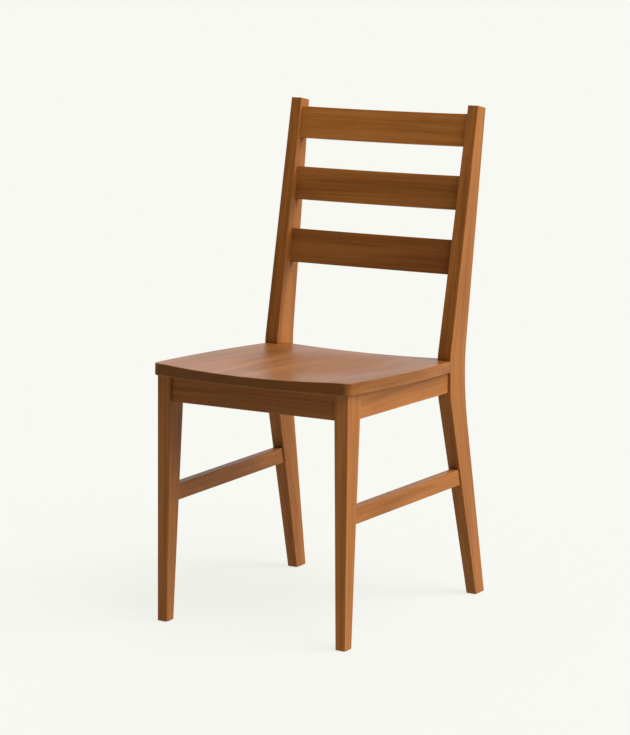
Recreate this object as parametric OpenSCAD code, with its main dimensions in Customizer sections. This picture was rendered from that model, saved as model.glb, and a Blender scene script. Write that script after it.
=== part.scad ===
// Ladderback dining chair in solid wood, millimetres.
// Heights are taken from the underside of the wooden feet, and depths from the
// front faces of the front legs. placed() then moves every piece so that the
// origin lies on the floor, under the middle of the whole chair, with the
// sitter facing -Y and +X to the sitter's left.

/* [Seat] */
// Height of the seat's edge at the front legs
seat_h = 451; // [420:1:480]
// Fall of the seat to the rear, in degrees
seat_tilt = 2; // [0:0.5:2.5]
// Thickness of the seat
seat_t = 21; // [18:1:26]
// Width of the seat at the front legs
seat_front_w = 384; // [340:1:480]
// How far each side of the seat runs in, from the front legs to the rear posts
seat_rear_in = 2.5; // [0:0.5:6]
// How far each side edge bows out between the front corner and the rear post
seat_side_bow = 8; // [2:0.5:12]
// How far the seat's front corners lie before the legs
seat_front_lip = 6; // [2:1:16]
// How far the front edge bows out past its corners
seat_bow = 20; // [6:1:36]
// Radius of the front corners in plan
seat_corner_r = 16; // [4:1:24]
// Depth of the shallow dish in the seat
seat_dish = 4; // [1:0.5:7]
// Width of the flat border at each side of the dish
seat_dish_border = 27; // [17:1:60]
// How far the seat reaches back between the rear posts
seat_tongue = 32; // [30:1:42]
// Clearance between the seat and the rear posts
seat_notch_gap = 0.3; // [0.1:0.1:0.6]

/* [Front legs] */
// How far the outer faces of the front legs lie inside the seat's sides
leg_inset = 6; // [4:0.5:10]
// Width of a front leg under the seat
leg_w_top = 26.5; // [24:0.5:32]
// Width of a front leg at the floor
leg_w_foot = 18.5; // [17:0.5:24]
// Depth of a front leg under the seat
leg_d_top = 43.5; // [38:0.5:50]
// Depth of a front leg at the floor
leg_d_foot = 22.5; // [20:0.5:34]

/* [Rear posts] */
// Height of the posts, to their front top corner
post_h = 879; // [850:1:940]
// Distance from the front of the legs to the front of the posts at the seat
post_front_y = 355.5; // [335:0.5:380]
// How far the top of a post leans back from the seat
post_lean = 87.5; // [60:0.5:110]
// How far the foot of a post kicks back from the seat
post_kick = 102; // [60:1:120]
// How far the foot of a post flares outwards
post_flare = 8; // [0:0.5:14]
// Width of a post at the seat
post_w_seat = 26; // [23:0.5:30]
// Width of a post at its top
post_w_top = 20.5; // [18:0.5:24]
// Width of a post at the floor
post_w_foot = 19.5; // [18:0.5:24]
// Depth of a post at its top
post_d_top = 29.5; // [27:0.5:36]
// Depth at the bend, to where the straight rear faces would cross
post_d_bend = 49.7; // [44:0.1:56]
// Depth of a post at the floor
post_d_foot = 33; // [24:0.5:42]
// Radius of the long curve on the rear face
post_rear_r = 450; // [300:10:520]
// Radius of the two short curves on the front face
post_front_r = 75; // [30:5:80]
// Height of the rear bend above the underside of the rails
post_bend_up = 12; // [0:1:24]
// Height of the flat front land above the seat
land_over = 8; // [6:0.5:16]
// Depth of the flat front land below the rails
land_under = 10.5; // [10.5:0.5:20]

/* [Rails] */
// Height of the front rail; the rear rail is level with it below
rail_h = 44.5; // [43:0.5:52]
// Thickness of the rails
rail_t = 20; // [18:0.5:22]
// Set-back of the front rail from the front of the legs
front_rail_set = 5; // [3:0.5:7]
// Set-in of the side rails from the outer faces of the front legs
side_rail_set = 0.7; // [0.5:0.1:2]
// How far the underside of a side rail falls from the front to the rear
side_rail_fall = 3; // [0:0.5:6]
// Set-back of the rear rail from the front of the posts
rear_rail_set = 12; // [11:0.5:15]

/* [Stretchers] */
// Height of the top of the side stretchers, at the front legs
stretcher_top_z = 237; // [150:0.5:300]
// How far a side stretcher rises from the front leg to the rear post
stretcher_rise = 2.5; // [0:0.5:5]
// Height of a side stretcher's section
stretcher_h = 28.5; // [24:0.5:36]
// Thickness of a side stretcher
stretcher_t = 17; // [14:0.5:18]

/* [Back slats] */
// Drop from the top of the posts to the top slat
top_slat_drop = 16.8; // [13:0.2:30]
// Height of the top slat's section
top_slat_h = 57; // [40:0.5:70]
// Gap between the top and the middle slat, out of the open height of the back
upper_gap_share = 0.207; // [0.12:0.001:0.26]
// Height of the middle slat's section
middle_slat_h = 59.5; // [40:0.5:70]
// Gap between the middle and the lower slat, out of the open height of the back
lower_gap_share = 0.2105; // [0.12:0.0005:0.26]
// Height of the lower slat's section
lower_slat_h = 61; // [40:0.5:70]
// Thickness of the slats
slat_t = 14; // [12:0.5:16]
// How far the middle of a slat curves back from its ends
slat_sag = 12; // [6:0.5:18]

/* [Mortise joints] */
// Length of a slat's tenon
slat_tenon_l = 12; // [8:0.5:14]
// Thickness of a slat's tenon
slat_tenon_t = 9; // [7:0.5:10]
// Shoulder above and below a slat's tenon
slat_shoulder = 5; // [3:0.5:8]
// How far a slat's tenon starts inside the slat's bent body
slat_root = 8; // [6:1:12]
// Length of a stretcher's tenon
stretcher_tenon_l = 15; // [10:0.5:16]
// Thickness of a stretcher's tenon
stretcher_tenon_t = 9; // [7:0.5:10]
// Shoulder above and below a stretcher's tenon
stretcher_shoulder = 4; // [3:0.5:6]
// Clearance round a tenon in its mortise
tenon_gap = 0.15; // [0.05:0.05:0.3]
// Room left at the blind end of a mortise
mortise_room = 1; // [0.5:0.25:2]

/* [Dowels] */
// Diameter of the rail dowels
dowel_d = 8; // [6:0.5:9]
// Length of the rail dowels
dowel_l = 30; // [24:1:30]
// Height of the lower dowel above the underside of a rail
dowel_low = 9; // [8:0.5:10]
// Height between the two dowels of a joint
dowel_pitch = 13.5; // [11:0.5:15]
// Clearance round a dowel
dowel_gap = 0.1; // [0.05:0.05:0.2]
// Room left at each blind end of a dowel hole
dowel_room = 0.75; // [0.25:0.25:1]

/* [Corner blocks] */
// Length of a corner block along each rail
block_run = 70; // [62:1:84]
// Height of the underside of the blocks above the underside of the rails
block_up = 14; // [10:0.5:15]
// Clearance between a block and the leg or post in its corner
block_gap = 1; // [0.5:0.25:2]

/* [Screws] */
// Shank diameter of the screws
screw_d = 4; // [3:0.25:4.5]
// Head diameter of the screws
screw_head_d = 8; // [6.5:0.25:8.5]
// Height of the countersunk head
screw_head_t = 2.4; // [2:0.1:3]
// Length of a screw from a block into a rail, with its head
block_screw_l = 30; // [27:1:32]
// How far a block screw bites into the rail
block_screw_bite = 15; // [11:0.5:16]
// Distance of a block screw from the corner of the rails
block_screw_run = 47; // [44:0.5:50]
// Length of a screw from a block up into the seat, with its head
seat_screw_l = 28; // [25:1:29]
// How far a seat screw bites into the seat
seat_screw_bite = 11; // [9:0.5:12]
// Distance of a seat screw from each rail
seat_screw_run = 26; // [24:0.5:28]
// Clearance round a screw in its hole
screw_gap = 0.15; // [0.05:0.05:0.3]
// Width of the cross slots in a screw head
slot_w = 1; // [0.8:0.1:1.4]
// Depth of the cross slots in a screw head
slot_d = 1.4; // [1:0.1:1.8]
// Length of the cross slots in a screw head
slot_l = 4.5; // [3.5:0.25:5.5]

/* [Foot glides] */
// Diameter of a glide
glide_d = 15; // [11:0.5:16]
// Thickness of a glide under the foot
glide_t = 1; // [0.75:0.25:3]
// Diameter of a glide's pin
glide_pin_d = 4; // [3:0.25:6]
// Length of a glide's pin in the foot
glide_pin_l = 16; // [10:1:22]

/* [Hidden] */

wood = "#9a6231";
inner_wood = "#c9a173";
steel = "#b9bcc0";
glide_brown = "#3a2a20";

// Overrun of every cut past the face that it leaves
overrun = 2;
// How far an arc reaches into the sides that it joins, so that it crosses them
arc_bite = 0.002;
// Facet counts of the preview: long shallow arcs, short arcs, small bores
long_fn = 720;
arc_fn = 180;
bore_fn = 48;

// The vector of length one along v
function unit(v) = v / norm(v);

// An arc of radius r in the corner v between the points a and c: where it meets
// the side towards a, and its centre
function corner_half(a, v, c) = acos(unit(a - v) * unit(c - v)) / 2;
function arc_start(a, v, c, r) = v + unit(a - v) * r / tan(corner_half(a, v, c));
function arc_centre(a, v, c, r) = v + unit(unit(a - v) + unit(c - v)) * r / sin(corner_half(a, v, c));

// The point at the other side of the chair
function other_side(p) = [-p[0], p[1]];

// Seat: heights of its two faces at depth y
function seat_top_z(y) = seat_h - y * tan(seat_tilt);
function seat_under_z(y) = seat_top_z(y) - seat_t / cos(seat_tilt);

// Widths over the front legs, and over the rear posts at the seat
base_w = seat_front_w - 2 * leg_inset;
post_span = seat_front_w - 2 * seat_rear_in;

// Seat outline: the arc of the front edge, and its centre
seat_back_y = post_front_y + seat_tongue;
seat_front_edge_y = -seat_front_lip - seat_bow - overrun;
bow_r = (pow(seat_front_w / 2, 2) + pow(seat_bow, 2)) / (2 * seat_bow);
bow_at = [0, bow_r - seat_front_lip - seat_bow];

// Seat outline: the arc of a side edge, from the front width to flush with the
// post, and its centre
side_front = [seat_front_w / 2, 0];
side_rear = [post_span / 2, post_front_y];
side_chord = norm(side_rear - side_front);
side_way = unit(side_rear - side_front);
side_r = (pow(side_chord / 2, 2) + pow(seat_side_bow, 2)) / (2 * seat_side_bow);
side_at = (side_front + side_rear) / 2 + (side_r - seat_side_bow) * [-side_way[1], side_way[0]];

// Seat outline: centre of the round corner, which touches both arcs from inside
arc_way = unit(bow_at - side_at);
arc_step = norm(bow_at - side_at);
corner_along = (pow(side_r - seat_corner_r, 2) - pow(bow_r - seat_corner_r, 2) + pow(arc_step, 2))
    / (2 * arc_step);
corner_across = sqrt(pow(side_r - seat_corner_r, 2) - pow(corner_along, 2));
corner_at = side_at + corner_along * arc_way + corner_across * [arc_way[1], -arc_way[0]];

// Seat: its shallow dish
seat_dish_w = seat_front_w - 2 * seat_dish_border;
dish_r = (pow(seat_dish_w / 2, 2) + pow(seat_dish, 2)) / (2 * seat_dish);

// Front legs: inner and rear faces at height z, tapered to the floor
leg_top_z = seat_under_z(0);
rail_bottom_z = leg_top_z - rail_h;
function leg_in_x(z) = base_w / 2 - leg_w_foot - (leg_w_top - leg_w_foot) * z / leg_top_z;
function leg_back_y(z) = leg_d_foot + (leg_d_top - leg_d_foot) * z / leg_top_z;

leg_in_low = [leg_in_x(-overrun), -overrun];
leg_in_high = [leg_in_x(seat_h), seat_h];

// Rear posts: side profile
post_x = post_span / 2;
waist_z = seat_top_z(post_front_y);
land_top_z = waist_z + land_over;
land_low_z = rail_bottom_z - land_under;
bend_z = rail_bottom_z + post_bend_up;
front_slope = post_lean / (post_h - land_top_z);
rear_slope = (post_lean + post_d_top - post_d_bend) / (post_h - bend_z);
function upper_front_y(z) = post_front_y + post_lean - front_slope * (post_h - z);
function upper_rear_y(z) = post_front_y + post_lean + post_d_top - rear_slope * (post_h - z);
function post_mid_y(z) = (upper_front_y(z) + upper_rear_y(z)) / 2;
lean_angle = atan((front_slope + rear_slope) / 2);
top_cut = post_d_top / (cos(lean_angle) + rear_slope * sin(lean_angle));
post_top_front = [post_front_y + post_lean, post_h];
post_top_rear = post_top_front + top_cut * [cos(lean_angle), -sin(lean_angle)];
post_land_top = [post_front_y, land_top_z];
post_land_low = [post_front_y, land_low_z];
post_foot_front = [post_front_y + post_kick, 0];
post_foot_rear = [post_front_y + post_kick + post_d_foot, 0];
post_bend = [post_front_y + post_d_bend, bend_z];
function lower_front_y(z) = post_front_y + post_kick * (1 - z / land_low_z);

// Rear posts: inner face at height z, widest at the waist beside the seat
function post_in_x(z) = z > waist_z
    ? post_x - post_w_seat + (post_w_seat - post_w_top) * (z - waist_z) / (post_h - waist_z)
    : post_x - post_w_seat + (post_flare + post_w_seat - post_w_foot) * (waist_z - z) / waist_z;
function post_out_x(z) = z > waist_z ? post_x : post_x + post_flare * (waist_z - z) / waist_z;
post_in_low = [post_in_x(-overrun), -overrun];
post_in_waist = [post_in_x(waist_z), waist_z];
post_in_high = [post_in_x(post_h + overrun), post_h + overrun];

// Back slats: heights of their top edges, by the open height from seat to post top
back_open = post_h - waist_z - top_slat_drop
    - (top_slat_h + middle_slat_h + lower_slat_h) * cos(lean_angle);
top_slat_z = post_h - top_slat_drop;
middle_slat_z = top_slat_z - top_slat_h * cos(lean_angle) - upper_gap_share * back_open;
lower_slat_z = middle_slat_z - middle_slat_h * cos(lean_angle) - lower_gap_share * back_open;

// Whole chair: its middle, from the seat's lower front edge to the rear feet
seat_front_y = -(seat_front_lip + seat_bow) * cos(seat_tilt) - seat_t * sin(seat_tilt);
origin_y = (seat_front_y + post_foot_rear[0]) / 2;

// Rails
side_rail_out_x = base_w / 2 - side_rail_set;
side_rail_in_x = side_rail_out_x - rail_t;
side_rail_x = (side_rail_out_x + side_rail_in_x) / 2;
front_rail_y = front_rail_set + rail_t / 2;
rear_rail_y = post_front_y + rear_rail_set + rail_t / 2;
dowel_heights = [for (i = [0, 1]) rail_bottom_z + dowel_low + i * dowel_pitch];
dowel_hole_d = dowel_d + 2 * dowel_gap;
dowel_hole_l = dowel_l + 2 * dowel_room;

// Side stretchers: centre line from the middle of the leg to the middle of the post
stretcher_front_z = stretcher_top_z - stretcher_h / 2;
stretcher_rear_z = stretcher_front_z + stretcher_rise;
stretcher_front = [(base_w / 2 + leg_in_x(stretcher_front_z)) / 2, leg_back_y(stretcher_front_z)];
stretcher_rear = [(post_out_x(stretcher_rear_z) + post_in_x(stretcher_rear_z)) / 2,
    lower_front_y(stretcher_rear_z)];
stretcher_run = norm(stretcher_rear - stretcher_front);
stretcher_toe = atan((stretcher_rear[0] - stretcher_front[0]) / (stretcher_rear[1] - stretcher_front[1]));
stretcher_climb = atan(stretcher_rise / stretcher_run);

// Corner blocks
block_bottom_z = rail_bottom_z + block_up;
front_corner = [side_rail_in_x, front_rail_set + rail_t];
rear_corner = [side_rail_in_x, post_front_y + rear_rail_set];
block_screw_z = (block_bottom_z + seat_under_z(rear_corner[1])) / 2;
front_seat_screw = front_corner + [-seat_screw_run, seat_screw_run];
rear_seat_screw = rear_corner + [-seat_screw_run, -seat_screw_run];

// Foot glides
front_foot = [base_w / 2 - leg_w_foot / 2, leg_d_foot / 2];
rear_foot = [post_x + post_flare - post_w_foot / 2, (post_foot_front[0] + post_foot_rear[0]) / 2];

// Moves the chair from its working axes to the shared frame
module placed() {
    translate([0, -origin_y, glide_t]) children();
}

// Draws a piece at +X, the sitter's left, or its mirror image at -X
module on_side(side) {
    if (side > 0) children();
    else mirror([1, 0, 0]) children();
}

// Extrudes an (x, z) outline along Y, over the whole depth of the chair
module through_y() {
    translate([0, post_foot_rear[0] + overrun, 0])
        rotate([90, 0, 0])
            linear_extrude(post_foot_rear[0] + 2 * overrun)
                children();
}

// Extrudes a (y, z) outline along X, from the middle out past the feet
module through_x() {
    rotate([90, 0, 90])
        linear_extrude(post_x + post_flare + overrun)
            children();
}

// Everything below the underside of the seat
module below_seat() {
    translate([0, 0, seat_h])
        rotate([-seat_tilt, 0, 0])
            translate([-seat_front_w / 2, seat_front_edge_y, -seat_t - seat_h])
                cube([seat_front_w, post_foot_rear[0] - seat_front_edge_y, seat_h]);
}

// What an arc of radius r takes off the corner v between the points a and c,
// running past the two sides
module corner_waste(a, v, c, r) {
    centre = arc_centre(a, v, c, r);
    grow = 1 + overrun / r;
    difference() {
        polygon([
            centre,
            centre + grow * (arc_start(a, v, c, r) - centre),
            centre + grow * (v - centre),
            centre + grow * (arc_start(c, v, a, r) - centre)
        ]);
        translate(centre) circle(r = r + arc_bite, $fn = long_fn);
    }
}

// What the round front corner takes off the seat's outline at +X
module seat_corner_waste() {
    front_out = unit(corner_at - bow_at);
    side_out = unit(corner_at - side_at);
    reach = seat_corner_r + overrun;
    difference() {
        polygon([
            corner_at,
            corner_at + reach * front_out,
            corner_at + reach * (front_out + side_out),
            corner_at + reach * side_out
        ]);
        translate(corner_at) circle(r = seat_corner_r + arc_bite, $fn = arc_fn);
    }
}

module seat_outline() {
    difference() {
        intersection() {
            translate(bow_at) circle(r = bow_r, $fn = long_fn);
            translate(side_at) circle(r = side_r, $fn = long_fn);
            translate(other_side(side_at)) circle(r = side_r, $fn = long_fn);
            translate([-seat_front_w, seat_front_edge_y])
                square([2 * seat_front_w, seat_back_y - seat_front_edge_y]);
        }
        seat_corner_waste();
        mirror([1, 0]) seat_corner_waste();
    }
}

// The shallow dish, an arc across the seat that is cut from front to back
module seat_dish_cut() {
    translate([0, seat_back_y + overrun, 0]) rotate([90, 0, 0])
        linear_extrude(seat_back_y - seat_front_edge_y + overrun) intersection() {
            translate([0, dish_r - seat_dish]) circle(r = dish_r, $fn = long_fn);
            translate([-seat_dish_w, -seat_dish - overrun])
                square([2 * seat_dish_w, seat_dish + 2 * overrun]);
        }
}

module seat() {
    color(wood) placed() difference() {
        translate([0, 0, seat_h]) rotate([-seat_tilt, 0, 0]) difference() {
            translate([0, 0, -seat_t]) linear_extrude(seat_t) seat_outline();
            seat_dish_cut();
        }
        for (side = [-1, 1]) on_side(side)
            translate([post_x - post_w_seat - seat_notch_gap, post_front_y - seat_notch_gap,
                    seat_under_z(seat_back_y) - overrun])
                cube([seat_front_w, seat_tongue + seat_notch_gap + overrun,
                    seat_h - seat_under_z(seat_back_y) + 2 * overrun]);
        for (side = [-1, 1]) on_side(side) {
            seat_screw_at(front_seat_screw, screw_gap, 0);
            seat_screw_at(rear_seat_screw, screw_gap, 0);
        }
    }
}

module front_leg(side) {
    color(wood) placed() on_side(side) difference() {
        intersection() {
            through_y() polygon([
                [base_w / 2, -overrun],
                [base_w / 2, seat_h],
                leg_in_high,
                leg_in_low
            ]);
            through_x() polygon([
                [0, 0],
                [leg_back_y(0), 0],
                [leg_back_y(seat_h), seat_h],
                [0, seat_h]
            ]);
            below_seat();
        }
        front_rail_dowels(dowel_hole_d, dowel_hole_l);
        side_rail_dowels(dowel_hole_d, dowel_hole_l);
        stretcher_tenon(tenon_gap, mortise_room);
        glide_pin(front_foot, glide_pin_l + mortise_room, tenon_gap);
    }
}

// The rear face's long curve fills its bend, and the two short curves round off
// the ends of the flat land on the front face
module post_side_profile() {
    difference() {
        polygon([
            post_top_front,
            post_land_top,
            post_land_low,
            post_foot_front,
            post_foot_rear,
            arc_start(post_foot_rear, post_bend, post_top_rear, post_rear_r),
            arc_start(post_top_rear, post_bend, post_foot_rear, post_rear_r),
            post_top_rear
        ]);
        corner_waste(post_top_front, post_land_top, post_land_low, post_front_r);
        corner_waste(post_land_top, post_land_low, post_foot_front, post_front_r);
        translate(arc_centre(post_foot_rear, post_bend, post_top_rear, post_rear_r))
            circle(r = post_rear_r + arc_bite, $fn = long_fn);
    }
}

module rear_post(side) {
    color(wood) placed() on_side(side) difference() {
        intersection() {
            through_x() post_side_profile();
            through_y() polygon([
                [post_out_x(-overrun), -overrun],
                [post_x, waist_z],
                [post_x, post_h + overrun],
                post_in_high,
                post_in_waist,
                post_in_low
            ]);
        }
        rear_rail_dowels(dowel_hole_d, dowel_hole_l);
        side_rail_dowels(dowel_hole_d, dowel_hole_l);
        stretcher_tenon(tenon_gap, mortise_room);
        slat_tenon(top_slat_z, top_slat_h, tenon_gap, mortise_room);
        slat_tenon(middle_slat_z, middle_slat_h, tenon_gap, mortise_room);
        slat_tenon(lower_slat_z, lower_slat_h, tenon_gap, mortise_room);
        glide_pin(rear_foot, glide_pin_l + mortise_room, tenon_gap);
    }
}

// The space between the two front legs, or between the two rear posts
module between_legs() {
    through_y() polygon([
        other_side(leg_in_low),
        leg_in_low,
        leg_in_high,
        other_side(leg_in_high)
    ]);
}

module between_posts() {
    through_y() polygon([
        other_side(post_in_low),
        post_in_low,
        post_in_waist,
        post_in_high,
        other_side(post_in_high),
        other_side(post_in_waist)
    ]);
}

// The space between the back of a front leg and the front of a rear post
module between_leg_and_post() {
    through_x() polygon([
        [leg_back_y(0), 0],
        [lower_front_y(0), 0],
        post_land_low,
        [post_front_y, seat_h],
        [leg_back_y(seat_h), seat_h]
    ]);
}

module front_rail() {
    color(wood) placed() difference() {
        intersection() {
            translate([-base_w / 2, front_rail_set, rail_bottom_z])
                cube([base_w, rail_t, seat_h - rail_bottom_z]);
            between_legs();
            below_seat();
        }
        for (side = [-1, 1]) on_side(side) {
            front_rail_dowels(dowel_hole_d, dowel_hole_l);
            front_rail_screw(screw_gap, 0);
        }
    }
}

module rear_rail() {
    color(wood) placed() difference() {
        intersection() {
            translate([-post_x, rear_rail_y - rail_t / 2, rail_bottom_z])
                cube([post_span, rail_t, seat_h - rail_bottom_z]);
            between_posts();
            below_seat();
        }
        for (side = [-1, 1]) on_side(side) {
            rear_rail_dowels(dowel_hole_d, dowel_hole_l);
            rear_rail_screw(screw_gap, 0);
        }
    }
}

module side_rail(side) {
    color(wood) placed() on_side(side) difference() {
        intersection() {
            translate([side_rail_in_x, 0, 0])
                cube([rail_t, post_foot_rear[0], seat_h]);
            through_x() polygon([
                [0, rail_bottom_z],
                [post_front_y, rail_bottom_z - side_rail_fall],
                [post_foot_rear[0], rail_bottom_z - side_rail_fall],
                [post_foot_rear[0], seat_h],
                [0, seat_h]
            ]);
            between_leg_and_post();
            below_seat();
        }
        side_rail_dowels(dowel_hole_d, dowel_hole_l);
        front_side_screw(screw_gap, 0);
        rear_side_screw(screw_gap, 0);
    }
}

// A cylinder of diameter d and length l, centred on a point, along X or along Y
module peg_x(at, d, l) {
    translate(at) rotate([0, 90, 0]) cylinder(d = d, h = l, center = true, $fn = bore_fn);
}

module peg_y(at, d, l) {
    translate(at) rotate([90, 0, 0]) cylinder(d = d, h = l, center = true, $fn = bore_fn);
}

// Dowels of the joints at +X, or their holes when d and l are larger
module front_rail_dowels(d, l) {
    for (z = dowel_heights) peg_x([leg_in_x(z), front_rail_y, z], d, l);
}

module rear_rail_dowels(d, l) {
    for (z = dowel_heights) peg_x([post_in_x(z), rear_rail_y, z], d, l);
}

module side_rail_dowels(d, l) {
    for (z = dowel_heights) {
        peg_y([side_rail_x, leg_back_y(z), z], d, l);
        peg_y([side_rail_x, post_front_y, z], d, l);
    }
}

module rail_dowels() {
    color(inner_wood) placed() for (side = [-1, 1]) on_side(side) {
        front_rail_dowels(dowel_d, dowel_l);
        rear_rail_dowels(dowel_d, dowel_l);
        side_rail_dowels(dowel_d, dowel_l);
    }
}

// Bar of thickness t and height h along the centre line of a stretcher, with a
// reach past each end
module stretcher_bar(t, h, reach) {
    translate([stretcher_front[0], stretcher_front[1], stretcher_front_z])
        rotate([stretcher_climb, 0, -stretcher_toe])
            translate([-t / 2, -reach, -h / 2])
                cube([t, stretcher_run + 2 * reach, h]);
}

// The tenons at both ends of a stretcher, or their mortises when gap is added
module stretcher_tenon(gap, room) {
    stretcher_bar(stretcher_tenon_t + 2 * gap, stretcher_h - 2 * stretcher_shoulder + 2 * gap,
        stretcher_tenon_l + room);
}

module side_stretcher(side) {
    color(wood) placed() on_side(side) {
        intersection() {
            stretcher_bar(stretcher_t, stretcher_h, stretcher_tenon_l);
            between_leg_and_post();
        }
        stretcher_tenon(0, 0);
    }
}

// Frame of a slat whose top edge is at height z: along the lean of the posts
module slat_frame(z) {
    translate([0, post_mid_y(z), z]) rotate([-lean_angle, 0, 0]) children();
}

// The tenon of a slat at +X, or its mortise when gap and room are added
module slat_tenon(z, h, gap, room) {
    slat_frame(z)
        translate([post_in_x(z) - slat_root, -slat_tenon_t / 2 - gap, -h + slat_shoulder - gap])
            cube([slat_root + slat_tenon_l + room, slat_tenon_t + 2 * gap, h - 2 * slat_shoulder + 2 * gap]);
}

module slat(z, h) {
    half_span = post_in_x(z);
    bend_r = (pow(half_span, 2) + pow(slat_sag, 2)) / (2 * slat_sag);
    color(wood) placed() {
        intersection() {
            slat_frame(z) translate([0, 0, -h]) linear_extrude(h) intersection() {
                translate([0, slat_sag - bend_r]) difference() {
                    circle(r = bend_r + slat_t / 2, $fn = long_fn);
                    circle(r = bend_r - slat_t / 2, $fn = long_fn);
                }
                translate([-post_x, -slat_t])
                    square([post_span, 2 * slat_t + slat_sag]);
            }
            between_posts();
        }
        for (side = [-1, 1]) on_side(side) slat_tenon(z, h, 0, 0);
    }
}

// A corner block in the corner of two rails, running to the rear when back is 1
// and to the front when it is -1, cut away to clear the leg or the post
module corner_block(side, corner, back, clear_x, clear_y) {
    color(inner_wood) placed() on_side(side) difference() {
        intersection() {
            translate([0, 0, block_bottom_z]) linear_extrude(seat_h - block_bottom_z)
                polygon([
                    corner,
                    corner + [-block_run, 0],
                    corner + [0, back * block_run]
                ]);
            below_seat();
        }
        translate([corner[0] - clear_x, back > 0 ? corner[1] - overrun : corner[1] - clear_y,
                block_bottom_z - overrun])
            cube([clear_x + overrun, clear_y + overrun, seat_h]);
        seat_screw_at(corner + [-seat_screw_run, back * seat_screw_run], screw_gap, seat_h);
        if (back > 0) front_block_screws(screw_gap, block_run);
        else rear_block_screws(screw_gap, block_run);
    }
}

// A countersunk screw along -Z, its head's top at the origin. Growth is the
// clearance of its hole, and above is the depth of the pocket over the head.
module screw(l, growth, above) {
    difference() {
        union() {
            translate([0, 0, -l]) cylinder(d = screw_d + 2 * growth, h = l, $fn = bore_fn);
            translate([0, 0, -screw_head_t])
                cylinder(d1 = screw_d + 2 * growth, d2 = screw_head_d + 2 * growth,
                    h = screw_head_t, $fn = bore_fn);
            if (above > 0) cylinder(d = screw_head_d + 2 * growth, h = above, $fn = bore_fn);
        }
        if (above == 0) for (turn = [0, 90]) rotate([0, 0, turn])
            translate([-slot_l / 2, -slot_w / 2, -slot_d])
                cube([slot_l, slot_w, slot_d + overrun]);
    }
}

// The screws from the corner blocks at +X into the rails, or their holes
module front_rail_screw(growth, above) {
    translate([front_corner[0] - block_screw_run,
            front_corner[1] + block_screw_l - block_screw_bite, block_screw_z])
        rotate([-90, 0, 0]) screw(block_screw_l, growth, above);
}

module front_side_screw(growth, above) {
    translate([front_corner[0] - block_screw_l + block_screw_bite,
            front_corner[1] + block_screw_run, block_screw_z])
        rotate([0, -90, 0]) screw(block_screw_l, growth, above);
}

module rear_rail_screw(growth, above) {
    translate([rear_corner[0] - block_screw_run,
            rear_corner[1] - block_screw_l + block_screw_bite, block_screw_z])
        rotate([90, 0, 0]) screw(block_screw_l, growth, above);
}

module rear_side_screw(growth, above) {
    translate([rear_corner[0] - block_screw_l + block_screw_bite,
            rear_corner[1] - block_screw_run, block_screw_z])
        rotate([0, -90, 0]) screw(block_screw_l, growth, above);
}

module front_block_screws(growth, above) {
    front_rail_screw(growth, above);
    front_side_screw(growth, above);
}

module rear_block_screws(growth, above) {
    rear_rail_screw(growth, above);
    rear_side_screw(growth, above);
}

// A screw up into the seat from a block at a point in plan
module seat_screw_at(at, growth, above) {
    translate([at[0], at[1], seat_under_z(at[1]) + seat_screw_bite - seat_screw_l])
        rotate([180, 0, 0]) screw(seat_screw_l, growth, above);
}

module corner_block_screws() {
    color(steel) placed() for (side = [-1, 1]) on_side(side) {
        front_block_screws(0, 0);
        rear_block_screws(0, 0);
    }
}

module seat_screws() {
    color(steel) placed() for (side = [-1, 1]) on_side(side) {
        seat_screw_at(front_seat_screw, 0, 0);
        seat_screw_at(rear_seat_screw, 0, 0);
    }
}

// The pin of a glide, or its hole when growth is added
module glide_pin(at, l, growth) {
    translate([at[0], at[1], -overrun * sign(growth)])
        cylinder(d = glide_pin_d + 2 * growth, h = l + overrun * sign(growth), $fn = bore_fn);
}

module glide(side, at) {
    color(glide_brown) placed() on_side(side) {
        translate([at[0], at[1], -glide_t]) cylinder(d = glide_d, h = glide_t, $fn = arc_fn);
        glide_pin(at, glide_pin_l, 0);
    }
}

seat();
front_leg(1);  // front_leg_left
front_leg(-1);  // front_leg_right
rear_post(1);  // rear_post_left
rear_post(-1);  // rear_post_right
front_rail();
rear_rail();
side_rail(1);  // side_rail_left
side_rail(-1);  // side_rail_right
side_stretcher(1);  // side_stretcher_left
side_stretcher(-1);  // side_stretcher_right
slat(top_slat_z, top_slat_h);  // top_slat
slat(middle_slat_z, middle_slat_h);  // middle_slat
slat(lower_slat_z, lower_slat_h);  // lower_slat
corner_block(1, front_corner, 1, side_rail_in_x - leg_in_x(block_bottom_z) + block_gap,  // corner_block_front_left
        leg_d_top - front_corner[1] + block_gap);
corner_block(-1, front_corner, 1, side_rail_in_x - leg_in_x(block_bottom_z) + block_gap,  // corner_block_front_right
        leg_d_top - front_corner[1] + block_gap);
corner_block(1, rear_corner, -1, side_rail_in_x - post_in_x(waist_z) + block_gap,  // corner_block_rear_left
        rear_rail_set + block_gap);
corner_block(-1, rear_corner, -1, side_rail_in_x - post_in_x(waist_z) + block_gap,  // corner_block_rear_right
        rear_rail_set + block_gap);
rail_dowels();
corner_block_screws();
seat_screws();
glide(1, front_foot);  // glide_front_left
glide(-1, front_foot);  // glide_front_right
glide(1, rear_foot);  // glide_rear_left
glide(-1, rear_foot);  // glide_rear_right
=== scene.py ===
import math

import bmesh
import bpy
from mathutils import Matrix, Vector
from mathutils.bvhtree import BVHTree


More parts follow.
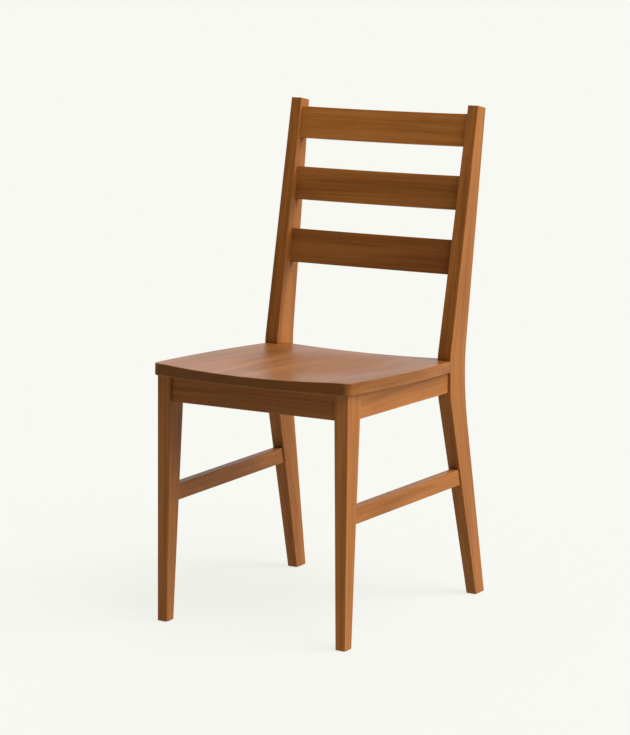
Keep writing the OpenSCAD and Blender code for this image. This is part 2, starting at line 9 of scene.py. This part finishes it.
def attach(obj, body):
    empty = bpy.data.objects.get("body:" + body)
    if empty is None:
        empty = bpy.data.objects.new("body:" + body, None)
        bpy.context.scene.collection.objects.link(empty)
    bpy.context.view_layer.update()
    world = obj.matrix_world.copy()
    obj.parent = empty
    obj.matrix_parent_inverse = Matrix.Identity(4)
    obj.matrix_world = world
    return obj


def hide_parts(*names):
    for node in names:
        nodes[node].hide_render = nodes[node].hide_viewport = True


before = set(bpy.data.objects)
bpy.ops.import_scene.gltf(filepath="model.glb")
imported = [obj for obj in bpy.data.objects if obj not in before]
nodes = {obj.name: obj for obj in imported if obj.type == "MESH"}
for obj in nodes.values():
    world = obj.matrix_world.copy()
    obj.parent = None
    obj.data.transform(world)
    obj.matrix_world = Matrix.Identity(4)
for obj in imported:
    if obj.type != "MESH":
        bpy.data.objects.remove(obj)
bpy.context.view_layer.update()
scene = bpy.context.scene
scene.view_settings.view_transform = "Standard"


# Light: the floor's own glow, how pale it is to the lights, and the surround, then
# each soft source with its strength, spread in degrees and where it comes from
FLOOR_GLOW = 0.803
FLOOR_GLOW_COLOUR = (0.995, 1.0, 0.945, 1)
FLOOR_SHADE = 0.085
FLOOR_SHADE_BLUE = 0.97
SURROUND = 0.01
LIGHTS = (
    ("key", 2.70, 35, (0.5, -0.1, 0.86)),
    ("side", 2.98, 34, (0.85, 0.45, 0.42)),
    ("top", 1.40, 90, (0.0, 0.0, 1.0)),
    ("back", 0.90, 60, (-0.3, 0.9, 0.35)),
)

# Camera, as fitted to the edges of the photograph, in metres, and in millimetres on its sensor
AZIMUTH = math.radians(30.198)
PITCH = math.radians(9.465)
ROLL = math.radians(0.6)
DISTANCE = 4.4707
TARGET = Vector((0.00507, -0.02901, 0.43318))
SENSOR = 36
LENS = 126.70
NEAREST = 0.1
FARTHEST = 400

flat = math.cos(PITCH)
forward = Vector((-math.sin(AZIMUTH) * flat, math.cos(AZIMUTH) * flat, -math.sin(PITCH)))
level = Vector((math.cos(AZIMUTH), math.sin(AZIMUTH), 0))
upright = level.cross(forward)
across = math.cos(ROLL) * level + math.sin(ROLL) * upright
above = -math.sin(ROLL) * level + math.cos(ROLL) * upright
camera_data = bpy.data.cameras.new("camera")
camera_data.sensor_width = SENSOR
camera_data.lens = LENS
camera_data.clip_start = NEAREST
camera_data.clip_end = FARTHEST
camera = bpy.data.objects.new("camera", camera_data)
scene.collection.objects.link(camera)
turn = Matrix((across, above, -forward)).transposed().to_4x4()
camera.matrix_world = Matrix.Translation(TARGET - forward * DISTANCE) @ turn
scene.camera = camera


# Node helpers
def new_material(name):
    material = bpy.data.materials.new(name)
    material.use_nodes = True
    tree = material.node_tree
    tree.nodes.clear()
    return material, tree


def add(tree, kind, **settings):
    node = tree.nodes.new(kind)
    for key, value in settings.items():
        setattr(node, key, value)
    return node


def math_node(tree, operation, a, b):
    """A sum of two values, each a number or an output."""
    node = add(tree, "ShaderNodeMath", operation=operation)
    for socket, value in zip(node.inputs, (a, b)):
        if isinstance(value, (int, float)):
            socket.default_value = value
        else:
            tree.links.new(value, socket)
    return node.outputs[0]


def mix_colour(tree, blend, factor, a, b):
    """Two colours mixed. The factor is a number or an output, and so is each colour."""
    node = add(tree, "ShaderNodeMix", data_type="RGBA", blend_type=blend)
    for socket, value in ((node.inputs[0], factor), (node.inputs[6], a), (node.inputs[7], b)):
        if isinstance(value, (int, float)):
            socket.default_value = value
        elif isinstance(value, tuple):
            socket.default_value = (*value, 1)
        else:
            tree.links.new(value, socket)
    return node.outputs[2]


def ramp(tree, value, stops):
    """A ramp over a value. Each stop is a place with a colour or a grey."""
    node = add(tree, "ShaderNodeValToRGB")
    tree.links.new(value, node.inputs[0])
    elements = node.color_ramp.elements
    while len(elements) < len(stops):
        elements.new(0.5)
    for element, (place, colour) in zip(elements, stops):
        element.position = place
        element.color = (*colour, 1) if isinstance(colour, tuple) else (colour, colour, colour, 1)
    return node.outputs[0]


def stretched_noise(tree, vector, scale, detail, roughness, distortion=0.0):
    """Noise over the given coordinates, stretched by a scale for each axis."""
    scaled = add(tree, "ShaderNodeVectorMath", operation="MULTIPLY")
    scaled.inputs[1].default_value = scale
    tree.links.new(vector, scaled.inputs[0])
    noise = add(tree, "ShaderNodeTexNoise")
    noise.inputs["Scale"].default_value = 1
    noise.inputs["Detail"].default_value = detail
    noise.inputs["Roughness"].default_value = roughness
    noise.inputs["Distortion"].default_value = distortion
    tree.links.new(scaled.outputs[0], noise.inputs["Vector"])
    return noise.outputs["Fac"]


def swing(tree, value, middle, width):
    """A value from 0 to 1 spread over the given width about the middle."""
    return math_node(tree, "ADD", math_node(tree, "MULTIPLY", value, width), middle - width / 2)


def bumped(tree, shader, height, strength, distance):
    """Puts a bump on the shader, and the shader on the surface."""
    bump = add(tree, "ShaderNodeBump")
    bump.inputs["Strength"].default_value = strength
    bump.inputs["Distance"].default_value = distance
    tree.links.new(height, bump.inputs["Height"])
    tree.links.new(bump.outputs[0], shader.inputs["Normal"])
    output = add(tree, "ShaderNodeOutputMaterial")
    tree.links.new(shader.outputs[0], output.inputs["Surface"])


# Wood. Each noise has its scale along the grain and twice across it, in waves for each
# metre, then its detail, roughness and distortion
BROAD = ((1.6, 26, 26), 2.0, 0.5, 0.6)
RINGS = ((2.4, 130, 130), 3.0, 0.6, 0.9)
STREAKS = ((5, 380, 380), 2.0, 0.6)
FIBRE = ((9, 900, 900), 3.0, 0.7)
PORES = ((95, 2600, 2600), 1.0, 0.5)
CLOUD = ((7, 11, 11), 2.0, 0.5)
# The share of each noise in the figure, and where the figure is dark, middling and light
BROAD_SHARE = 0.36
RINGS_SHARE = 0.28
STREAKS_SHARE = 0.24
FIBRE_SHARE = 0.12
DARK_AT, MIDDLE_AT, LIGHT_AT = 0.395, 0.5, 0.62
# Slow changes of shade, and the pores: where they start and end, how strong and how dark
CLOUD_SWING = 0.3
PORE_STOPS = ((0.30, 1.0), (0.37, 0.0))
PORE_STRENGTH = 0.42
PORE_DARKNESS = 0.35
# End grain: how much of the figure it loses, how much darker and how much rougher it is
END_PLAINNESS = 0.8
END_DARKNESS = 0.48
END_ROUGHNESS = 0.15
# Eased edges, lightened partly as wear and partly as a painted highlight where they catch the
# light: how much of the light colour shows, and how much lighter that is
EDGE_WEAR_AND_HIGHLIGHT = 0.8
EDGE_WEAR_AND_HIGHLIGHT_LIGHTNESS = 1.35
# Gloss and relief, with the bump's distance in metres
GLOSS_SWING = 0.12
WOOD_IOR = 1.45
WOOD_SPECULAR = 0.12
FIBRE_RELIEF = 0.6
WOOD_BUMP = 0.22
WOOD_BUMP_DISTANCE = 0.00025
# The worn patch of the seat: how much rougher it is, and where its slope starts
PATCH_ROUGHNESS = 0.13
PATCH_SLOPE_START = 0.45


def wood_material(name, dark, middle, light, roughness, worn_patch=None):
    """Straight-grained wood. The grain attribute holds metres along and across the grain.

    A worn patch is the middle and the half widths, in grain metres, of an area rubbed duller.
    """
    material, tree = new_material(name)
    link = tree.links.new
    grain = add(tree, "ShaderNodeAttribute", attribute_name="grain").outputs["Vector"]
    tone_and_painted_shade = add(tree, "ShaderNodeAttribute", attribute_name="tone_and_painted_shade").outputs["Fac"]
    cut = add(tree, "ShaderNodeAttribute", attribute_name="end_cut").outputs["Fac"]
    edge_wear_and_highlight_mask = add(tree, "ShaderNodeAttribute", attribute_name="eased").outputs["Fac"]

    broad = stretched_noise(tree, grain, *BROAD)
    rings = stretched_noise(tree, grain, *RINGS)
    streaks = stretched_noise(tree, grain, *STREAKS)
    fibre = stretched_noise(tree, grain, *FIBRE)
    pores = stretched_noise(tree, grain, *PORES)
    cloud = stretched_noise(tree, grain, *CLOUD)

    figure = math_node(tree, "MULTIPLY", broad, BROAD_SHARE)
    for noise, share in ((rings, RINGS_SHARE), (streaks, STREAKS_SHARE), (fibre, FIBRE_SHARE)):
        figure = math_node(tree, "ADD", figure, math_node(tree, "MULTIPLY", noise, share))
    # end grain is even, with hardly a trace of the figure
    plain = math_node(tree, "SUBTRACT", 1.0, math_node(tree, "MULTIPLY", cut, END_PLAINNESS))
    figure = math_node(tree, "SUBTRACT", figure, MIDDLE_AT)
    figure = math_node(tree, "ADD", math_node(tree, "MULTIPLY", figure, plain), MIDDLE_AT)
    colour = ramp(tree, figure, ((DARK_AT, dark), (MIDDLE_AT, middle), (LIGHT_AT, light)))
    colour = mix_colour(tree, "MULTIPLY", 1.0, colour, swing(tree, cloud, 1.0, CLOUD_SWING))
    pore_mask = math_node(tree, "MULTIPLY", ramp(tree, pores, PORE_STOPS), PORE_STRENGTH)
    pore_colour = tuple(PORE_DARKNESS * c for c in dark)
    colour = mix_colour(tree, "MIX", pore_mask, colour, pore_colour)
    # the piece's tone: partly the wood's own variation, partly painted light and shade
    colour = mix_colour(tree, "MULTIPLY", 1.0, colour, tone_and_painted_shade)
    end_shade = math_node(tree, "SUBTRACT", 1.0, math_node(tree, "MULTIPLY", cut, END_DARKNESS))
    colour = mix_colour(tree, "MULTIPLY", 1.0, colour, end_shade)
    # the eased edges are lightened: partly wear, partly a painted highlight
    wear_and_highlight = math_node(tree, "MULTIPLY", edge_wear_and_highlight_mask, math_node(tree, "MULTIPLY", cloud, EDGE_WEAR_AND_HIGHLIGHT))
    wear_and_highlight_colour = tuple(min(1.0, EDGE_WEAR_AND_HIGHLIGHT_LIGHTNESS * c) for c in light)
    colour = mix_colour(tree, "MIX", wear_and_highlight, colour, wear_and_highlight_colour)

    shader = add(tree, "ShaderNodeBsdfPrincipled")
    link(colour, shader.inputs["Base Color"])
    gloss = swing(tree, fibre, roughness, GLOSS_SWING)
    gloss = math_node(tree, "ADD", gloss, math_node(tree, "MULTIPLY", cut, END_ROUGHNESS))
    if worn_patch is not None:
        gloss = math_node(tree, "ADD", gloss, patch_mask(tree, grain, *worn_patch))
    link(gloss, shader.inputs["Roughness"])
    shader.inputs["IOR"].default_value = WOOD_IOR
    shader.inputs["Specular IOR Level"].default_value = WOOD_SPECULAR
    height = math_node(tree, "MULTIPLY", fibre, FIBRE_RELIEF)
    height = math_node(tree, "SUBTRACT", height, pore_mask)
    bumped(tree, shader, height, WOOD_BUMP, WOOD_BUMP_DISTANCE)
    return material


def patch_mask(tree, vector, middle, half_widths):
    """A soft oval hump of roughness over the grain coordinates."""
    moved = add(tree, "ShaderNodeVectorMath", operation="SUBTRACT")
    tree.links.new(vector, moved.inputs[0])
    moved.inputs[1].default_value = middle
    scaled = add(tree, "ShaderNodeVectorMath", operation="DIVIDE")
    tree.links.new(moved.outputs[0], scaled.inputs[0])
    scaled.inputs[1].default_value = half_widths
    length = add(tree, "ShaderNodeVectorMath", operation="LENGTH")
    tree.links.new(scaled.outputs[0], length.inputs[0])
    stops = ((PATCH_SLOPE_START, PATCH_ROUGHNESS), (1.0, 0.0))
    return ramp(tree, length.outputs["Value"], stops)


# Plain materials: the noise of their specks, and how far it moves the shade and the gloss
SPECK_SCALE = (400, 400, 400)
BRUSHED_SCALE = (300, 300, 2500)
SPECK_DETAIL = 3.0
SPECK_ROUGHNESS = 0.6
SPECK_SHADE_SWING = 0.3
SPECK_GLOSS_SWING = 0.2
SPECK_BUMP = 0.15
SPECK_BUMP_DISTANCE = 0.0002


def plain_material(name, colour, roughness, metallic=0.0, speck_scale=SPECK_SCALE):
    """A material with a fine surface texture in its colour, gloss and bump."""
    material, tree = new_material(name)
    link = tree.links.new
    place = add(tree, "ShaderNodeTexCoord").outputs["Object"]
    speck = stretched_noise(tree, place, speck_scale, SPECK_DETAIL, SPECK_ROUGHNESS)
    shade = swing(tree, speck, 1.0, SPECK_SHADE_SWING)
    shader = add(tree, "ShaderNodeBsdfPrincipled")
    link(mix_colour(tree, "MULTIPLY", 1.0, colour, shade), shader.inputs["Base Color"])
    link(swing(tree, speck, roughness, SPECK_GLOSS_SWING), shader.inputs["Roughness"])
    shader.inputs["Metallic"].default_value = metallic
    bumped(tree, shader, speck, SPECK_BUMP, SPECK_BUMP_DISTANCE)
    return material


# Each piece takes its wood from another place: this shift times the piece's number
GRAIN_SHIFT = (0.37, 0.113, 0.071)
# The seat is the first piece. Its worn patch, in metres along the seat, across it and
# through it from the middle of the chair on the floor
PATCH_MIDDLE = (-0.03, 0.02, 0.45)
PATCH_HALF_WIDTHS = (0.19, 0.16, 1.0)
worn_patch = (tuple(a + b for a, b in zip(GRAIN_SHIFT, PATCH_MIDDLE)), PATCH_HALF_WIDTHS)

STAIN = ((0.175, 0.058, 0.0105), (0.25, 0.088, 0.018), (0.315, 0.118, 0.027))
PALE = ((0.34, 0.21, 0.105), (0.44, 0.29, 0.155), (0.54, 0.38, 0.22))
stained = wood_material("stained_wood", *STAIN, 0.40)
stained_seat = wood_material("stained_seat", *STAIN, 0.36, worn_patch)
bare = wood_material("plain_wood", *PALE, 0.55)
steel = plain_material("screw_steel", (0.62, 0.62, 0.64), 0.32, 1.0, BRUSHED_SCALE)
glide_plastic = plain_material("glide_plastic", (0.018, 0.012, 0.009), 0.5)
dowel_wood = plain_material("dowel_wood", (0.45, 0.30, 0.17), 0.6)


# How each member's grain runs: metres along the grain, then across it twice.
# The middle of a post goes back from this place at the seat, by these slopes above and
# below the bend's two heights, with a soft turn at each
POST_BACK = 0.1523
POST_LEAN, POST_LEAN_FROM, POST_LEAN_TURN = 0.1693, 0.445, 0.05
POST_KICK, POST_KICK_FROM, POST_KICK_TURN = 0.2373, 0.385, 0.06
# A slat sags back at its middle, and leans with the posts
SLAT_SAG = 0.012
SLAT_HALF_SPAN = 0.168
SLAT_LEAN = 0.17


def smooth_step_up(value, width):
    """Zero below, value above, with a soft turn between."""
    if value < -width:
        return 0.0
    if value > width:
        return value
    return (value + width) ** 2 / (4 * width)


def post_middle(z):
    lean = POST_LEAN * smooth_step_up(z - POST_LEAN_FROM, POST_LEAN_TURN)
    kick = POST_KICK * smooth_step_up(POST_KICK_FROM - z, POST_KICK_TURN)
    return POST_BACK + lean + kick


def slat_middle(x):
    return -SLAT_SAG * (x / SLAT_HALF_SPAN) ** 2


def grain_seat(p):
    return (p.y, p.x, p.z)


def grain_upright(p):
    return (p.z, p.x, p.y)


def grain_post(p):
    return (p.z, p.x, p.y - post_middle(p.z))


def grain_cross(p):
    return (p.x, p.z, p.y)


def grain_slat(p):
    return (p.x, p.z, p.y - slat_middle(p.x) - SLAT_LEAN * p.z)


def grain_side(p):
    return (p.y, p.z, p.x)


# Node, grain, direction of the grain, easing of the edges in metres, tone: a factor on the stain
# of each piece, partly the wood's own variation and partly painted light and shade
UP = Vector((0, 0, 1))
ALONG_X = Vector((1, 0, 0))
ALONG_Y = Vector((0, 1, 0))
WOOD = (
    ("seat", grain_seat, ALONG_Y, 0.0018, 0.89),
    ("front_leg_left", grain_upright, UP, 0.0015, 1.07),
    ("front_leg_right", grain_upright, UP, 0.0015, 0.90),
    ("rear_post_left", grain_post, UP, 0.0015, 1.09),
    ("rear_post_right", grain_post, UP, 0.0015, 1.08),
    ("front_rail", grain_cross, ALONG_X, 0.0010, 0.88),
    ("rear_rail", grain_cross, ALONG_X, 0.0010, 0.95),
    ("side_rail_left", grain_side, ALONG_Y, 0.0010, 1.10),
    ("side_rail_right", grain_side, ALONG_Y, 0.0010, 1.00),
    ("side_stretcher_left", grain_side, ALONG_Y, 0.0015, 1.07),
    ("side_stretcher_right", grain_side, ALONG_Y, 0.0015, 0.89),
    # the slats' tones step down from the top slat to the lower one: painted shade, darker lower
    # down the back
    ("top_slat", grain_slat, ALONG_X, 0.0015, 1.37),
    ("middle_slat", grain_slat, ALONG_X, 0.0015, 1.13),
    ("lower_slat", grain_slat, ALONG_X, 0.0015, 0.96),
)
BARE = (
    ("corner_block_front_left", grain_cross, ALONG_X, 0.0008, 1.0),
    ("corner_block_front_right", grain_cross, ALONG_X, 0.0008, 0.95),
    ("corner_block_rear_left", grain_cross, ALONG_X, 0.0008, 1.04),
    ("corner_block_rear_right", grain_cross, ALONG_X, 0.0008, 0.98),
)
# The numbers of the first stained piece and of the first bare one
FIRST_WOOD = 1
FIRST_BARE = 31
# The seat's lower edges are eased more than its upper ones
SEAT_UNDER_EASING = 0.0032

# Which edges are eased, and how: lengths in metres, angles in radians
WELD = 0.000002
FLAT_ANGLE = math.radians(0.15)
EDGE_ANGLE = math.radians(25)
SMOOTH_ANGLE = math.radians(32)
NEIGHBOUR_GAP = 0.0005
EDGE_SAMPLES = (0.15, 0.5, 0.85)
UNDERSIDE = -0.9
EASING_SEGMENTS = 3
EASING_PROFILE = 0.6
END_CUT_POWER = 3
FACE_AREA_WEIGHT = 100

trees = {}
for name, obj in nodes.items():
    points = [vertex.co for vertex in obj.data.vertices]
    trees[name] = BVHTree.FromPolygons(points, [face.vertices for face in obj.data.polygons])


def touches_neighbour(own, point):
    """True where another node lies within half a millimetre of a point.

    The rails were eased before the seat came on them, so the seat doesn't count for them.
    """
    for name, node_tree in trees.items():
        if name == own or (name == "seat" and "rail" in own):
            continue
        if node_tree.find_nearest(point, NEIGHBOUR_GAP)[0] is not None:
            return True
    return False


def is_free(name, edge):
    """True for an outer edge that isn't against a neighbour over its whole length."""
    if len(edge.link_faces) != 2 or edge.calc_face_angle_signed(0.0) < EDGE_ANGLE:
        return False
    a, b = edge.verts[0].co, edge.verts[1].co
    return not all(touches_neighbour(name, a.lerp(b, share)) for share in EDGE_SAMPLES)


def faces_down(edge):
    """True for an edge of the underside."""
    return min(face.normal.z for face in edge.link_faces) < UNDERSIDE


def ease(bm, edges, width):
    """Rounds the edges over, and gives back the faces that this makes."""
    made = bmesh.ops.bevel(
        bm, geom=edges, offset=width, offset_type="OFFSET", segments=EASING_SEGMENTS,
        profile=EASING_PROFILE, affect="EDGES", clamp_overlap=True
    )
    return set(made["faces"])


def eased_piece(name, number, grain, grain_way, width, tone_and_painted_shade, material):
    """The node's own shape with its free edges eased, and its grain written on it."""
    bm = bmesh.new()
    bm.from_mesh(nodes[name].data)
    bmesh.ops.remove_doubles(bm, verts=bm.verts, dist=WELD)
    bmesh.ops.dissolve_limit(bm, angle_limit=FLAT_ANGLE, verts=bm.verts, edges=bm.edges)
    bm.normal_update()
    free = [edge for edge in bm.edges if is_free(name, edge)]
    eased = set()
    if name == "seat":
        eased = ease(bm, [edge for edge in free if faces_down(edge)], SEAT_UNDER_EASING)
        free = [e for e in free if e.is_valid and not eased.intersection(e.link_faces)]
    eased |= ease(bm, free, width)
    bm.normal_update()
    end_layer = bm.faces.layers.float.new("end_cut")
    eased_layer = bm.faces.layers.float.new("eased")
    for face in bm.faces:
        face.smooth = True
        face[eased_layer] = 1.0 if face in eased else 0.0
        face[end_layer] = min(1.0, abs(face.normal.dot(grain_way)) ** END_CUT_POWER)
    for edge in bm.edges:
        edge.smooth = len(edge.link_faces) == 2 and abs(edge.calc_face_angle(0.0)) < SMOOTH_ANGLE
    grain_layer = bm.verts.layers.float_vector.new("grain")
    tone_and_shade_layer = bm.verts.layers.float.new("tone_and_painted_shade")
    shift = Vector(GRAIN_SHIFT) * number
    for vert in bm.verts:
        vert[grain_layer] = Vector(grain(vert.co)) + shift
        vert[tone_and_shade_layer] = tone_and_painted_shade
    mesh = bpy.data.meshes.new(name + "_eased")
    bm.to_mesh(mesh)
    bm.free()
    piece = bpy.data.objects.new(name + "_eased", mesh)
    scene.collection.objects.link(piece)
    mesh.materials.append(material)
    normals = piece.modifiers.new("face_normals", "WEIGHTED_NORMAL")
    normals.keep_sharp = True
    normals.weight = FACE_AREA_WEIGHT
    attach(piece, "root")
    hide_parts(name)


for number, (name, grain, way, width, tone_and_painted_shade) in enumerate(WOOD, FIRST_WOOD):
    wood = stained_seat if name == "seat" else stained
    eased_piece(name, number, grain, way, width, tone_and_painted_shade, wood)
for number, (name, grain, way, width, tone_and_painted_shade) in enumerate(BARE, FIRST_BARE):
    eased_piece(name, number, grain, way, width, tone_and_painted_shade, bare)


def dress(name, material):
    """Gives a CAD node that keeps its own shape a better material."""
    data = nodes[name].data
    data.materials.clear()
    data.materials.append(material)


dress("rail_dowels", dowel_wood)
for name in ("corner_block_screws", "seat_screws"):
    dress(name, steel)
for name in ("glide_front_left", "glide_front_right", "glide_rear_left", "glide_rear_right"):
    dress(name, glide_plastic)


# Pale floor, so wide that its edge stays out of the photograph's frame
FLOOR_REACH = 150
floor_corners = [
    (-FLOOR_REACH, -FLOOR_REACH, 0),
    (FLOOR_REACH, -FLOOR_REACH, 0),
    (FLOOR_REACH, FLOOR_REACH, 0),
    (-FLOOR_REACH, FLOOR_REACH, 0),
]
floor_mesh = bpy.data.meshes.new("floor")
floor_mesh.from_pydata(floor_corners, [], [(0, 1, 2, 3)])
floor = bpy.data.objects.new("floor", floor_mesh)
scene.collection.objects.link(floor)
floor_material, tree = new_material("pale_floor")
glow = add(tree, "ShaderNodeEmission")
glow.inputs["Color"].default_value = FLOOR_GLOW_COLOUR
glow.inputs["Strength"].default_value = FLOOR_GLOW
matte = add(tree, "ShaderNodeBsdfDiffuse")
matte_colour = (FLOOR_SHADE, FLOOR_SHADE, FLOOR_SHADE_BLUE * FLOOR_SHADE, 1)
matte.inputs["Color"].default_value = matte_colour
both = add(tree, "ShaderNodeAddShader")
tree.links.new(glow.outputs[0], both.inputs[0])
tree.links.new(matte.outputs[0], both.inputs[1])
output = add(tree, "ShaderNodeOutputMaterial")
tree.links.new(both.outputs[0], output.inputs["Surface"])
floor_mesh.materials.append(floor_material)


# Studio light: a faint even surround and wide soft sources
world = bpy.data.worlds.new("studio")
world.use_nodes = True
backdrop = world.node_tree.nodes["Background"]
backdrop.inputs["Color"].default_value = (1.0, 1.0, 1.0, 1)
backdrop.inputs["Strength"].default_value = SURROUND
scene.world = world

for name, energy, spread, direction in LIGHTS:
    data = bpy.data.lights.new(name, "SUN")
    data.energy = energy
    data.angle = math.radians(spread)
    light = bpy.data.objects.new(name, data)
    scene.collection.objects.link(light)
    light.rotation_mode = "QUATERNION"
    light.rotation_quaternion = Vector(direction).to_track_quat("Z", "Y")
